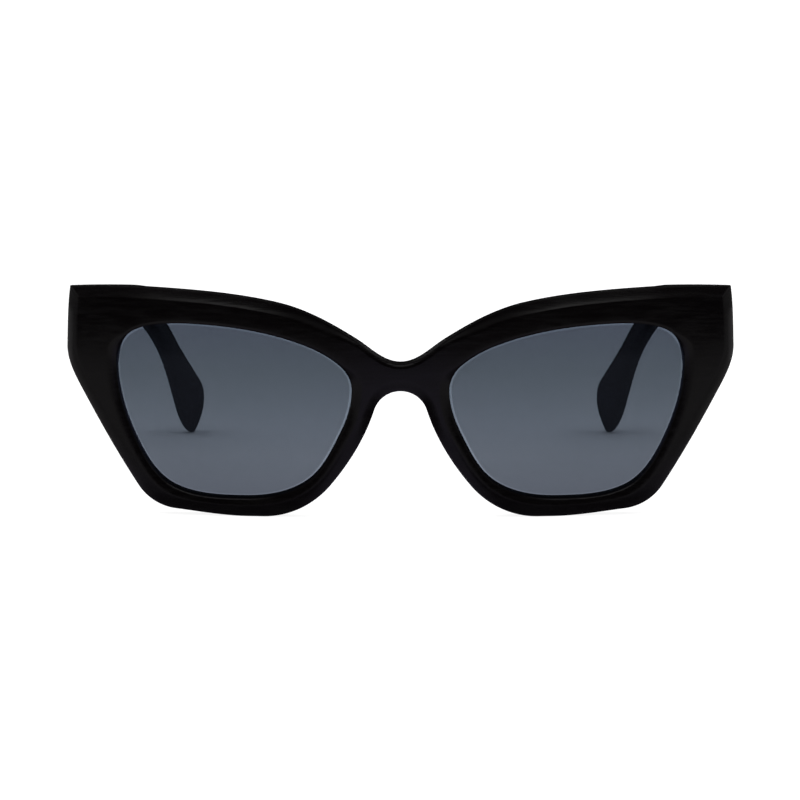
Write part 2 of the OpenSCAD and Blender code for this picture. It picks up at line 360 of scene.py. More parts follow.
# Their depths at the edge, as a share of the width
RIM_SLOPE, WING_SLOPE, BROW_SLOPE, BRIDGE_SLOPE, LENS_RIM_SLOPE = 0.5, 0.72, 0.82, 0.36, 0.25
# Their curves, from 1, a flat bevel, upwards to rounder ones
RIM_CURVE, BROW_CURVE, LENS_RIM_CURVE = 2.0, 1.35, 1.6
# The most of a rim's width that the outer and the inner bevel may take
OUTER_MOST, INNER_MOST = 0.5, 0.46
# Distances from the middle where the bridge's bevel ends and the brow's and the wings' begin
BRIDGE_X, BRIDGE_X_EASE = 8.0, 10.0
BROW_X, BROW_X_EASE = 14.0, 18.0
WING_X, WING_X_EASE = 62.0, 8.0


def fillet_drop(d):
    """How far a filleted edge falls away at distance d from it."""
    return FILLET - math.sqrt(max(0.0, FILLET ** 2 - max(0.0, FILLET - d) ** 2))


def bevel_rings(loop, direction, width, depth, curve):
    """Rings from a loop's edge to the inner end of its bevel: points, front drop and back drop."""
    rings = []
    for d in FILLET_STEPS:
        rings.append((loop + direction * d, depth * (1 - d / width) ** curve + fillet_drop(d),
                      np.full(len(loop), fillet_drop(d))))
    for u in BEVEL_STEPS:
        rings.append((loop + direction * (width * u)[:, None], depth * (1 - u) ** curve,
                      np.zeros(len(loop))))
    return rings


def outer_bevel():
    """Rings of the bevel round the outside: deepest over the lenses, small over the bridge."""
    slides = inward_slides(OUTLINE, FAR_CORNER)
    rim = blurred(nearest(OUTLINE, np.vstack([LEFT_LENS, RIGHT_LENS])), 6)
    aside = np.abs(OUTLINE[:, 0])
    facing_up = smooth((-slides[:, 1] - 0.2) / 0.5)
    brow = smooth((aside - BROW_X) / BROW_X_EASE) * facing_up
    bridge = facing_up * (1 - smooth((aside - BRIDGE_X) / BRIDGE_X_EASE))
    wing = smooth((aside - WING_X) / WING_X_EASE)
    width = mix(mix(RIM_BEVEL, BROW_BEVEL, brow), BRIDGE_BEVEL, bridge)
    width = np.minimum(width, OUTER_MOST * rim)
    slope = mix(mix(RIM_SLOPE, WING_SLOPE, wing), BROW_SLOPE, brow)
    slope = mix(slope, BRIDGE_SLOPE, bridge)
    return bevel_rings(OUTLINE, slides, width, width * slope, mix(RIM_CURVE, BROW_CURVE, brow))


def inner_bevel(loop):
    """Rings of the bevel round a lens opening, narrow above the lens."""
    away = outward(loop)
    rim = blurred(nearest(loop, OUTLINE), 6)
    above = smooth((away[:, 1] - 0.3) / 0.5)
    width = np.minimum(mix(LENS_RIM_BEVEL, LENS_BROW_BEVEL, above), INNER_MOST * rim)
    return bevel_rings(loop, away, width, width * LENS_RIM_SLOPE, LENS_RIM_CURVE)


def end_share(x, z):
    """1 on the thick end pieces, 0 on the rims, and eased between."""
    return smooth((np.abs(x) - END_X) / END_X_EASE) * smooth((z - END_Z) / END_Z_EASE)


def back_depth(x, z):
    """Back of the front: the rims' curve, thickened to flat backs at the end pieces."""
    rim = ball_depth(x, z, BACK_R)
    return mix(rim, np.maximum(rim, END_DEPTH), end_share(x, z))


def back_height(x, z):
    """Height at the back: the end pieces' upper edge is eased down a little there."""
    near_top = smooth((z - END_TOP) / END_TOP_EASE)
    return z - END_EASE * end_share(x, z) * near_top


def front_frame():
    """The acetate front: a bevelled face, walls with a lens groove, and a filleted back."""
    loops = [OUTLINE, LEFT_LENS, RIGHT_LENS]
    bevels = [outer_bevel()] + [inner_bevel(loop) for loop in loops[1:]]
    flat, front_drop, back_drop, starts = [], [], [], []
    for rings in bevels:
        starts.append([])
        for points, front, back in rings:
            starts[-1].append(sum(map(len, flat)))
            flat.append(points)
            front_drop.append(front)
            back_drop.append(back)
    face_edges = [rings[-1][0] for rings in bevels]
    grid, triangles = fill(face_edges[0], face_edges[1:], FILL_GAP)
    fill_ids = np.concatenate(
        [starts[k][-1] + np.arange(len(loop)) for k, loop in enumerate(face_edges)]
        + [sum(map(len, flat)) + np.arange(len(grid))])
    flat = np.vstack(flat + [grid])
    no_drop = np.zeros(len(grid))
    x, z = flat[:, 0], flat[:, 1]
    front_y = ball_depth(x, z, CURVE_R) + np.concatenate(front_drop + [no_drop])
    back_y = back_depth(x, z) - np.concatenate(back_drop + [no_drop])
    total = len(flat)
    points = [np.stack([x, front_y, z], 1), np.stack([x, back_y, back_height(x, z)], 1)]
    faces = [tuple(t) for t in fill_ids[triangles]]
    faces += [tuple(t[::-1] + total) for t in fill_ids[triangles]]
    used = 2 * total
    for loop, rings, levels in zip(loops, starts, [wall_levels, groove_levels, groove_levels]):
        n, edge = len(loop), rings[0]
        for a, b in zip(rings, rings[1:]):
            faces += band(a, b, n)
            faces += [q[::-1] for q in band(a + total, b + total, n)]
        previous = edge
        for ring, y in levels(loop, front_y[edge:edge + n], back_y[edge:edge + n]):
            points.append(np.stack([ring[:, 0], y, ring[:, 1]], 1))
            faces += band(previous, used, n)
            previous = used
            used += n
        faces += band(previous, edge + total, n)
    return make_object("acetate_front", np.vstack(points) + [0, FRONT_Y, 0], faces, sharp=50)


def wall_levels(loop, y0, y1):
    """The outer wall from front to back."""
    eased = np.stack([loop[:, 0], back_height(loop[:, 0], loop[:, 1])], 1)
    return [(mix(loop, eased, w), mix(y0, y1, w)) for w in WALL_STEPS]


def groove_levels(loop, y0, y1):
    """Wall of a lens opening from front to back, with its V groove."""
    deep = loop + outward(loop) * GROOVE_DEPTH
    lip_front = ball_depth(loop[:, 0], loop[:, 1], LENS_R + GROOVE_HALF)
    lip_back = ball_depth(loop[:, 0], loop[:, 1], LENS_R - GROOVE_HALF)
    return [
        (loop, mix(y0, lip_front, 0.5)),
        (loop, lip_front),
        (deep, ball_depth(deep[:, 0], deep[:, 1], LENS_R)),
        (loop, lip_back),
        (loop, mix(lip_back, y1, 0.5)),
    ]


# -------------------------------- lenses

LENS_SEAT = 0.05
LENS_BEVEL = 0.55
LENS_BEVEL_HALF = 0.52
LENS_EASE = 0.45
LENS_EASE_DEPTH = 0.12
LENS_FILL_GAP = 1.6


def lens(side):
    """A curved lens: two polished faces with eased edges, and a V bevel for the groove."""
    loop = LEFT_LENS
    out = outward(loop)
    body = loop - out * LENS_SEAT
    eased = loop - out * (LENS_SEAT + LENS_EASE)
    apex = loop + out * LENS_BEVEL
    front_r, back_r = LENS_R + LENS_T / 2, LENS_R - LENS_T / 2
    grid, triangles = fill(eased, [], LENS_FILL_GAP)
    n = len(loop)

    def on_ball(flat, r):
        return np.stack([flat[:, 0], ball_depth(flat[:, 0], flat[:, 1], r), flat[:, 1]], 1)

    rings = [on_ball(eased, front_r), on_ball(body, front_r - LENS_EASE_DEPTH),
             on_ball(body, LENS_R + LENS_BEVEL_HALF), on_ball(apex, LENS_R),
             on_ball(body, LENS_R - LENS_BEVEL_HALF), on_ball(body, back_r + LENS_EASE_DEPTH),
             on_ball(eased, back_r)]
    points = np.vstack(rings + [on_ball(grid, front_r), on_ball(grid, back_r)])
    faces = []
    for i in range(len(rings) - 1):
        faces += band(i * n, (i + 1) * n, n)
    ring_ids, inner_ids = np.arange(n), np.arange(len(grid)) + len(rings) * n
    front_ids = np.concatenate([ring_ids, inner_ids])
    back_ids = np.concatenate([ring_ids + (len(rings) - 1) * n, inner_ids + len(grid)])
    faces += [tuple(t) for t in front_ids[triangles]]
    faces += [tuple(t[::-1]) for t in back_ids[triangles]]
    points[:, 0] *= SIDES[side]
    obj = make_object(side + "_smoke_lens", points + [0, FRONT_Y, 0], faces, sharp=25)
    # The eased faces take the second material, a lighter copy of the tint: a painted highlight
    # along the lens edge
    eased_faces = list(range(n)) + list(range((len(rings) - 2) * n, (len(rings) - 1) * n))
    for k in eased_faces:
        obj.data.polygons[k].material_index = 1
    return obj


# -------------------------------- temples

TEMPLE_L = 145.0
TEMPLE_T = 4.6
TIP_T = 3.6
TOE_IN = 1.6
PITCH = 4.0
EAR_BEND = 47.2
TIP_BEND = 25.2
EAR = (85.0, 116.3)
TIP = (89.4, 128.0)
TIP_ROUND = 9.0
TEMPLE_ROUND = 1.6
TEMPLE_EASE = 0.25
POCKET_PLAY = 0.05
# The butt's gap to the end piece, its middle's height, and how far its inside is from the pin
BUTT_GAP = 0.05
BUTT_Z = 42.35
PIN_OFFSET = 1.7
TEMPLE_START = np.array([PIN_X + PIN_OFFSET + TEMPLE_T / 2, END_DEPTH + BUTT_GAP, BUTT_Z])
# The core wire, and its channel's play round it and past its end
WIRE_R = 0.7
WIRE_START = 1.5
WIRE_END = 128.0
WIRE_PLAY = 0.05
CHANNEL_SPARE = 1.0
# Distance along the temple, its height there, and its middle's rise above the guide line
PROFILE = [(0, 13, 0), (60, 9.4, 0), (90, 7.1, 0), (118.4, 6.2, 5.6), (145, 13.1, 4.8)]
GUIDE_STEP = 0.5


def temple_direction(s):
    """Unit direction of the left temple's guide line at distance s."""
    fall = math.radians(PITCH + EAR_BEND * smooth((s - EAR[0]) / (EAR[1] - EAR[0])))
    turn = math.radians(TOE_IN + TIP_BEND * smooth((s - TIP[0]) / (TIP[1] - TIP[0])))
    return np.array([-math.cos(fall) * math.sin(turn), math.cos(fall) * math.cos(turn),
                     -math.sin(fall)])


def guide_line():
    """Points along the left temple, from the middle of its butt."""
    points = [TEMPLE_START]
    for i in range(round(TEMPLE_L / GUIDE_STEP)):
        points.append(points[-1] + GUIDE_STEP * temple_direction((i + 0.5) * GUIDE_STEP))
    return np.array(points)


GUIDE = guide_line()


def guide_at(s):
    """Point of the guide line at distance s, carried on straight ahead of the butt."""
    if s < 0:
        return GUIDE[0] + s * temple_direction(0)
    at = np.arange(len(GUIDE)) * GUIDE_STEP
    return np.array([np.interp(s, at, GUIDE[:, k]) for k in range(3)])


def profile_at(s):
    """Height and rise at distance s, eased between the profile's rows."""
    for a, b in zip(PROFILE, PROFILE[1:]):
        if s <= b[0] or b is PROFILE[-1]:
            t = smooth((s - a[0]) / (b[0] - a[0]))
            return mix(a[1], b[1], t), mix(a[2], b[2], t)


def rounded_section(width, height, radius, steps=9):
    """A rectangle about the origin with round corners."""
    points = []
    for sx, sz, start in ((1, 1, 0), (-1, 1, 90), (-1, -1, 180), (1, -1, 270)):
        for k in range(steps + 1):
            c, s = heading(start + 90 * k / steps)
            points.append((sx * (width / 2 - radius) + radius * c,
                           sz * (height / 2 - radius) + radius * s))
    return np.array(points)


def round_section(radius, n=20):
    """A circle about the origin."""
    return np.array([radius * heading(360 * k / n) for k in range(n)])


def temple_ring(s, section, butt=False):
    """A section placed at s; the butt's section lies flat in the butt plane."""
    d = np.array([0.0, 1.0, 0.0]) if butt else temple_direction(s)
    across = np.array([d[1], -d[0], 0]) / math.hypot(d[0], d[1])
    up = np.cross(across, d)
    rise = profile_at(max(s, 0))[1] * tip_scale(s)
    middle = guide_at(s) + rise * up
    return middle + section[:, :1] * across + section[:, 1:] * up


def tip_share(s):
    """0 up to the rounding of the tip, 1 at its very end."""
    return max(0.0, (s - TEMPLE_L + TIP_ROUND) / TIP_ROUND)


def tip_scale(s):
    """Share of its height that the temple keeps at s, round towards the tip."""
    return max(0.1, math.sqrt(max(0.0, 1 - tip_share(s) ** 2)))


def temple(side):
    """An acetate temple with its butt, hinge pocket and wire channel."""
    stations = list(np.linspace(TEMPLE_EASE, TEMPLE_L - TIP_ROUND, 120))
    stations += [TEMPLE_L - TIP_ROUND + TIP_ROUND * math.sin(math.pi / 2 * k / 16)
                 for k in range(1, 17)]
    butt = rounded_section(TEMPLE_T - 2 * TEMPLE_EASE, PROFILE[0][1] - 2 * TEMPLE_EASE,
                           TEMPLE_ROUND - TEMPLE_EASE)
    rings = [temple_ring(0, butt, True)]
    for i, s in enumerate(stations):
        height = profile_at(s)[0] * tip_scale(s)
        width = mix(TEMPLE_T, TIP_T, s / TEMPLE_L) * (1 - 0.5 * tip_share(s) ** 3)
        radius = min(TEMPLE_ROUND, 0.46 * height, 0.46 * width)
        rings.append(temple_ring(s, rounded_section(width, height, radius), i == 0))
    points, faces = swept(rings)
    points[:, 0] *= SIDES[side]
    obj = make_object(side + "_acetate_temple", points + [0, FRONT_Y, 0], faces, sharp=40)
    tube = [temple_ring(s, round_section(WIRE_R + WIRE_PLAY))
            for s in [-CHANNEL_SPARE] + list(np.linspace(0, WIRE_END + CHANNEL_SPARE, 60))]
    points, faces = swept(tube)
    points[:, 0] *= SIDES[side]
    boolean(obj, make_object("wire_channel", points + [0, FRONT_Y, 0], faces), sharp=40)
    boolean(obj, temple_plate(side, POCKET_PLAY), sharp=40)
    return obj


def core_wire(side):
    """The round wire inside a temple."""
    stations = np.linspace(WIRE_START, WIRE_END, 90)
    points, faces = swept([temple_ring(s, round_section(WIRE_R)) for s in stations])
    points[:, 0] *= SIDES[side]
    return make_object(side + "_drawn_core_wire", points + [0, FRONT_Y, 0], faces)


# -------------------------------- hinges

HINGE_H = 7.0
HINGE_BASE = PIN_Z - HINGE_H / 2
# Five knuckles and their eased edges
KNUCKLE_GAP = 0.05
KNUCKLE_H = (HINGE_H - 4 * KNUCKLE_GAP) / 5
KNUCKLE_R = 1.45
KNUCKLE_EASE = 0.1
BORE_R = 0.75
# The screw: head, shank, how far its end stays above the hinge's, thread and slot
HEAD_R = 1.1
HEAD_H = 0.7
SCREW_R = 0.7
SCREW_END = 0.15
THREAD_START = 0.15
THREAD_TURNS = 5
THREAD_PITCH = 0.3
THREAD_DEPTH = 0.11
SLOT_HALF = 0.16
SLOT_DEPTH = 0.36
SLOT_TURN = 25.0
# The leaves, and the webs that carry the knuckles, a little shorter than them at each end
PLATE_T = 1.0
PLATE_LEAD = 1.5
PLATE_EASE = 0.1
FRONT_PLATE_W = 4.2
TEMPLE_PLATE_L = 11.0
WEB_HALF = 1.2
WEB_SHORT = 0.02
WEB_EASE, WEB_CORNER = 0.06, 0.1
# Edges of the pockets' cutters, and how far they stand out of the surface they cut
CUTTER_EASE = 0.02
CUTTER_PROUD = 1.0
# Distance of the temple's inside from the pin, square to the temple
HINGE_FACE = (PIN_OFFSET * math.cos(math.radians(TOE_IN))
              - (PIN_DEPTH - TEMPLE_START[1]) * math.sin(math.radians(TOE_IN)))


def at_pin(points, side, turn=0.0):
    """Moves points from the hinge pin's own frame to the part's frame."""
    a = math.radians(turn)
    points = np.asarray(points, float)
    x = points[:, 0] * math.cos(a) - points[:, 1] * math.sin(a)
    y = points[:, 0] * math.sin(a) + points[:, 1] * math.cos(a)
    return np.stack([(PIN_X + x) * SIDES[side], PIN_Y + y, points[:, 2]], 1)


def slab(low, high, thin, ease, corner=0.5):
    """A plate between two corners, thin along one axis, with round corners and eased edges."""
    low, high = np.array(low, float), np.array(high, float)
    wide = [k for k in range(3) if k != thin]
    size, middle = high - low, (high + low) / 2
    rings = []
    for share, inset in ((0, ease), (0, 0), (1, 0), (1, ease)):
        edge = rounded_section(size[wide[0]] - 2 * inset, size[wide[1]] - 2 * inset,
                               max(0.05, corner - inset), 5)
        ring = np.zeros((len(edge), 3))
        ring[:, wide[0]] = middle[wide[0]] + edge[:, 0]
        ring[:, wide[1]] = middle[wide[1]] + edge[:, 1]
        near = ease if inset == 0 else 0
        ring[:, thin] = low[thin] + near if share == 0 else high[thin] - near
        rings.append(ring)
    return swept(rings)


def turned(profile, n=40):
    """A ring turned about the pin from a closed profile of (radius, height) points."""
    rings = []
    for k in range(n):
        c, s = heading(360 * k / n)
        rings.append(np.array([(r * c, r * s, z) for r, z in profile]))
    m = len(profile)
    points = np.vstack(rings)
    faces = []
    for k in range(n):
        a, b = k * m, ((k + 1) % n) * m
        faces += [(a + i, a + (i + 1) % m, b + (i + 1) % m, b + i) for i in range(m)]
    return points, faces


def revolved(profile, n=48):
    """A solid turned about the pin from (radius, height) points, with flat ends."""
    around = [heading(360 * k / n) for k in range(n)]
    return swept([np.array([(r * c, r * s, z) for c, s in around]) for r, z in profile])


def knuckle_base(k):
    """Height of the lower end of knuckle k, counted from the bottom."""
    return HINGE_BASE + k * (KNUCKLE_H + KNUCKLE_GAP)


def knuckle(k, top_bore=None):
    """Knuckle k as a bored ring; the top one has a seat for the screw head."""
    z0 = knuckle_base(k)
    z1 = z0 + KNUCKLE_H
    e = KNUCKLE_EASE
    profile = [(BORE_R, z0 + e / 2), (BORE_R + e / 2, z0), (KNUCKLE_R - e, z0), (KNUCKLE_R, z0 + e),
               (KNUCKLE_R, z1 - e), (KNUCKLE_R - e, z1)]
    if top_bore:
        seat = z1 - HEAD_H - KNUCKLE_GAP
        profile += [(top_bore, z1), (top_bore, seat), (BORE_R, seat)]
    else:
        profile += [(BORE_R + e / 2, z1), (BORE_R, z1 - e / 2)]
    return turned(profile)


def front_plate(side, grow):
    """Leaf let into the end piece; grown, it is the pocket's cutter and stands out of the back."""
    proud = CUTTER_PROUD if grow else 0.0
    low = [-FRONT_PLATE_W - grow, END_DEPTH - PIN_DEPTH - PLATE_T - grow, HINGE_BASE - grow]
    high = [WEB_HALF + grow, END_DEPTH - PIN_DEPTH + proud, HINGE_BASE + HINGE_H + grow]
    points, faces = slab(low, high, 1, ease=CUTTER_EASE if grow else PLATE_EASE)
    return make_object("front_plate", at_pin(points, side), faces)


def temple_plate(side, grow):
    """Leaf let into the temple; grown, it is the pocket's cutter."""
    proud = CUTTER_PROUD if grow else 0.0
    low = [HINGE_FACE - proud, -PLATE_LEAD - grow, HINGE_BASE - grow]
    high = [HINGE_FACE + PLATE_T + grow, TEMPLE_PLATE_L - PLATE_LEAD + grow,
            HINGE_BASE + HINGE_H + grow]
    points, faces = slab(low, high, 0, ease=CUTTER_EASE if grow else PLATE_EASE)
    return make_object("temple_plate", at_pin(points, side, TOE_IN), faces)


def front_hinge(side):
    """Front leaf: a plate, three knuckles and their webs."""
    obj = front_plate(side, 0)
    for k in (0, 2, 4):
        z0 = knuckle_base(k)
        low = [-WEB_HALF, END_DEPTH - PIN_DEPTH - PLATE_T / 2, z0 + WEB_SHORT]
        high = [WEB_HALF, 0, z0 + KNUCKLE_H - WEB_SHORT]
        points, faces = slab(low, high, 2, WEB_EASE, WEB_CORNER)
        obj = boolean(obj, make_object("web", at_pin(points, side), faces), "UNION")
        obj = add_knuckle(obj, side, k, HEAD_R + 0.05 if k == 4 else None)
    obj.name = side + "_hinge_front_leaf"
    return obj


def temple_hinge(side):
    """Temple leaf: a plate, two knuckles and their webs."""
    obj = temple_plate(side, 0)
    for k in (1, 3):
        z0 = knuckle_base(k)
        low = [0, -WEB_HALF, z0 + WEB_SHORT]
        high = [HINGE_FACE + PLATE_T / 2, WEB_HALF, z0 + KNUCKLE_H - WEB_SHORT]
        points, faces = slab(low, high, 2, WEB_EASE, WEB_CORNER)
        obj = boolean(obj, make_object("web", at_pin(points, side, TOE_IN), faces), "UNION")
        obj = add_knuckle(obj, side, k)
    obj.name = side + "_hinge_temple_leaf"
    return obj


def add_knuckle(obj, side, k, top_bore=None):
    """Bores the web for the screw, then joins the knuckle to it."""
    z0 = knuckle_base(k) - WEB_SHORT
    z1 = z0 + KNUCKLE_H + 2 * WEB_SHORT
    flat = round_section(KNUCKLE_R - 0.2, 40)
    points, faces = swept([np.column_stack([flat, np.full(len(flat), z)]) for z in (z0, z1)])
    obj = boolean(obj, make_object("plug", at_pin(points, side), faces))
    points, faces = knuckle(k, top_bore)
    return boolean(obj, make_object("knuckle", at_pin(points, side), faces), "UNION")


def hinge_screw(side):
    """A slotted screw: chamfered head, shank and a cut thread at its lower end."""
    top = HINGE_BASE + HINGE_H
    low = HINGE_BASE + SCREW_END
    profile = [(SCREW_R - 0.2, low), (SCREW_R - 0.05, low + 0.12)]
    for i in range(THREAD_TURNS):
        z = low + THREAD_START + i * THREAD_PITCH
        profile += [(SCREW_R, z + 0.06), (SCREW_R, z + 0.1), (SCREW_R - THREAD_DEPTH, z + 0.2),
                    (SCREW_R - THREAD_DEPTH, z + 0.22)]
    thread_end = low + (THREAD_START + THREAD_TURNS * THREAD_PITCH + 0.1)
    profile += [(SCREW_R, thread_end), (SCREW_R, top - HEAD_H), (HEAD_R - 0.05, top - HEAD_H),
                (HEAD_R, top - HEAD_H + 0.06), (HEAD_R, top - 0.18), (HEAD_R - 0.12, top - 0.04),
                (HEAD_R * 0.6, top - 0.005), (HEAD_R * 0.2, top)]
    points, faces = revolved(profile)
    obj = make_object(side + "_hinge_screw_turned", at_pin(points, side), faces, sharp=30)
    points, faces = slab([-HEAD_R - 1, -SLOT_HALF, top - SLOT_DEPTH],
                         [HEAD_R + 1, SLOT_HALF, top + 1], 0, 0.02, 0.06)
    slot = make_object("slot", at_pin(points, side, SLOT_TURN), faces)
    return boolean(obj, slot, sharp=30)


# -------------------------------- nose pads

PAD_LOW, PAD_HIGH = (np.array(anchor[:2], float) for anchor in NOSE_RIM)
# Height behind the rim, and how deep its root is sunk in it
PAD_REACH = 5.8
PAD_ROOT = 0.5
PAD_SPLAY = math.tan(math.radians(22.0))
PAD_ROUND_R = 8.5
PAD_BASE_W = 3.2
PAD_EDGE_W = 1.3
# How far inside the rim's edge its foot stays
PAD_INSET = 0.25
PAD_RINGS = 44


def nose_pad(side):
    """A bonded wedge along the rim: flat to the nose, round edged, dying away at its ends."""
    run = PAD_LOW - PAD_HIGH
    lean = math.atan2(run[0], -run[1])
    along = np.array([-math.sin(lean), math.cos(lean)])
    away = np.array([math.cos(lean), math.sin(lean)])
    middle = (PAD_LOW + PAD_HIGH) / 2
    rim = path(NOSE_RIM) - middle
    rim = np.stack([rim @ along, rim @ away], 1)
    height = PAD_REACH + PAD_ROOT
    half_run = math.sqrt(PAD_ROUND_R ** 2 - (PAD_ROUND_R - height) ** 2) - 0.05
    rings = []
    for k in range(PAD_RINGS + 1):
        v = half_run * math.sin(math.pi * (k / PAD_RINGS - 0.5))
        top = RIM_T + PAD_REACH - PAD_ROUND_R + math.sqrt(PAD_ROUND_R ** 2 - v * v)
        edge = np.interp(v, rim[:, 0], rim[:, 1])
        inset = max(-0.15, edge + PAD_INSET)
        ring = pad_section(RIM_T - PAD_ROOT, top)
        flat = middle + np.outer(inset + ring[:, 0], away) + v * along
        rings.append(np.stack([flat[:, 0], ring[:, 1], flat[:, 1]], 1))
    points, faces = swept(rings)
    points[:, 0] *= SIDES[side]
    return make_object(side + "_bonded_nose_pad", points + [0, FRONT_Y, 0], faces, sharp=60)


def pad_section(root, top):
    """Wedge section from root to a rounded edge at top, as points across and along its rise."""
    rise = top - root
    width = mix(PAD_BASE_W, PAD_EDGE_W, rise / (PAD_REACH + PAD_ROOT))
    radius = min(0.5 * width, 0.45 * rise)
    nose = [((y - RIM_T) * PAD_SPLAY, y) for y in np.linspace(root, top - radius, 10)]
    start = np.array([nose[-1][0] + radius, top - radius])
    turn = [start + radius * heading(a) for a in np.linspace(165, 90, 6)]
    far = np.array([max(start[0] + 0.05, PAD_BASE_W - 0.45 * rise / PAD_REACH - radius),
                    top - radius])
    turn += [far + radius * heading(a) for a in np.linspace(90, 10, 7)]
    outer = [mix(turn[-1], np.array([PAD_BASE_W, root]), t) for t in np.linspace(0.12, 1, 9)]
    return np.array(nose + turn + outer)


# -------------------------------- materials

class Nodes:
    """A short way to write a node tree.

    Sockets 2 and 3 of a Mix node are its two numbers, and sockets 6 and 7 its two colours."""

    def __init__(self, tree):
        self.tree = tree
        tree.nodes.clear()

    def add(self, kind, inputs=None, **settings):
        """A new node with its inputs linked or set, and its settings."""
        node = self.tree.nodes.new(kind)
        for key, value in settings.items():
            setattr(node, key, value)
        for key, value in (inputs or {}).items():
            self.feed(node.inputs[key], value)
        return node

    def feed(self, socket, value):
        """Links a socket to another, or sets its value."""
        if isinstance(value, bpy.types.NodeSocket):
            self.tree.links.new(value, socket)
        else:
            socket.default_value = value

    def math(self, operation, a, b=0.0):
        return self.add("ShaderNodeMath", {0: a, 1: b}, operation=operation).outputs[0]

    def remap(self, value, low, high, to_low=0.0, to_high=1.0):
        """A smooth step from one level to another as value goes from low to high."""
        node = self.add("ShaderNodeMapRange", interpolation_type="SMOOTHSTEP")
        for key, v in zip(("Value", "From Min", "From Max", "To Min", "To Max"),
                          (value, low, high, to_low, to_high)):
            self.feed(node.inputs[key], v)
        return node.outputs["Result"]

    def split(self, vector):
        """The X, Y and Z parts of a vector."""
        parts = self.add("ShaderNodeSeparateXYZ", {0: vector}).outputs
        return [parts[axis] for axis in "XYZ"]

    def largest(self, *values):
        found = values[0]
        for value in values[1:]:
            found = self.math("MAXIMUM", found, value)
        return found

    def product(self, *values):
        found = values[0]
        for value in values[1:]:
            found = self.math("MULTIPLY", found, value)
        return found

    def colours(self, share, low, high):
        """A colour between two, by share."""
        return self.add("ShaderNodeMix", {"Factor": share, 6: (*low, 1), 7: (*high, 1)},
                        data_type="RGBA").outputs[2]

    def noise(self, place, scale, stretch=(1, 1, 1), detail=3.0, rough=0.5):
        """Noise with its scale in waves per millimetre, drawn out along an axis by stretch."""
        size = tuple(scale / (MM * s) for s in stretch)
        point = self.add("ShaderNodeMapping", {"Vector": place, "Scale": size}).outputs[0]
        inputs = {"Vector": point, "Scale": 1.0, "Detail": detail, "Roughness": rough}
        return self.add("ShaderNodeTexNoise", inputs).outputs["Fac"]


def new_material(name):
    """An empty node material and its nodes."""
    material = bpy.data.materials.new(name)
    material.use_nodes = True
    return material, Nodes(material.node_tree)


# The acetate's darkest and lightest clouds, a near-black
ACETATE_DARK, ACETATE_LIGHT = (0.0006, 0.0003, 0.0005), (0.0012, 0.0008, 0.0010)
ACETATE_IOR = 1.48
# Strength and height of the buffing streaks
BUFFING = 0.10
BUFFING_RELIEF = 0.05 * MM
# Polish, and how much of it the brow's upward faces lose away from the lenses and the bridge: a
# painted highlight, so that the brow shines only over the lenses and at the bridge
SPECULAR, PAINTED_SPECULAR_LOSS = 0.5, 0.42


def acetate(name, grain, tone=1.0, brow=0.0):
    """Polished black cellulose acetate: faint clouding, buffing streaks along its grain, hairlines.

    brow deepens the streaks where the surface leans upwards, as on the bevel over the lenses. It
    also dulls the polish there away from the lenses and the bridge: a painted highlight, set by
    position so that the brow shines only there."""
    material, n = new_material(name)
    coordinates = n.add("ShaderNodeTexCoord").outputs
    place, lean = coordinates["Object"], n.split(coordinates["Normal"])[2]
    clouds = n.noise(place, 0.12, detail=4)
    streaks = n.noise(place, 1.1, grain, detail=5, rough=0.62)
    hairs = n.noise(place, 7.0, tuple(g * 2 for g in grain), detail=2)
    dark, light = (tuple(v * tone for v in c) for c in (ACETATE_DARK, ACETATE_LIGHT))
    colour = n.colours(clouds, dark, light)
    rough = n.math("ADD", n.remap(streaks, 0.35, 0.7, 0.13, 0.24),
                   n.remap(hairs, 0.60, 0.78, 0.0, 0.03))
    relief = n.math("ADD", streaks, n.product(hairs, 0.3))
    depth = n.remap(lean, 0.2, 0.5, BUFFING, BUFFING + brow)
    bump = n.add("ShaderNodeBump",
                 {"Strength": depth, "Distance": BUFFING_RELIEF, "Height": relief})
    # Painted highlight: upward faces lose polish away from the lenses and the bridge
    painted_dulling = n.product(n.remap(lean, 0.15, 0.4, 0.0, min(1.0, brow)),
                       n.math("SUBTRACT", 1.0, brow_painted_highlight(n, place)))
    specular = n.math("SUBTRACT", SPECULAR, n.product(painted_dulling, PAINTED_SPECULAR_LOSS))
    shader = n.add("ShaderNodeBsdfPrincipled", {
        "Base Color": colour, "Roughness": rough, "IOR": ACETATE_IOR, "Normal": bump.outputs[0],
        "Specular IOR Level": specular})
    n.add("ShaderNodeOutputMaterial", {"Surface": shader.outputs[0]})
    return material


def brow_painted_highlight(n, place):
    """Painted highlight along the brow: full polish over the lenses, fair at the bridge, dull
    elsewhere, so that the brow shines only there.
    """
    aside = n.math("ABSOLUTE", n.split(place)[0])
    over_lens = n.product(n.remap(aside, 22 * MM, 36 * MM),
                          n.remap(aside, 50 * MM, 60 * MM, 0.86, 0.3))
    return n.largest(over_lens, n.remap(aside, 6 * MM, 16 * MM, 0.65, 0.0))


# Share of light the lens surface scatters
VEIL = 0.0045
# Heights on the lens, and the red, green and blue light it passes there
TINT = [
    (4.5, (0.086, 0.097, 0.121)),
    (13.0, (0.095, 0.110, 0.135)),
    (20.5, (0.081, 0.096, 0.119)),
    (32.0, (0.057, 0.070, 0.087)),
    (41.0, (0.050, 0.061, 0.081)),
]
# Less than a bare plastic's, as for a lens with a coating against reflections
LENS_IOR = 1.34
LENS_GLOSS, LENS_VEIL = (0.68, 0.78, 1.0, 1), (0.60, 0.72, 1.0, 1)
# How much lighter the tint is on the lenses' eased edges: a painted highlight, drawn as a light
# line round each lens
EASED_EDGE_PAINTED_HIGHLIGHT = 1.7


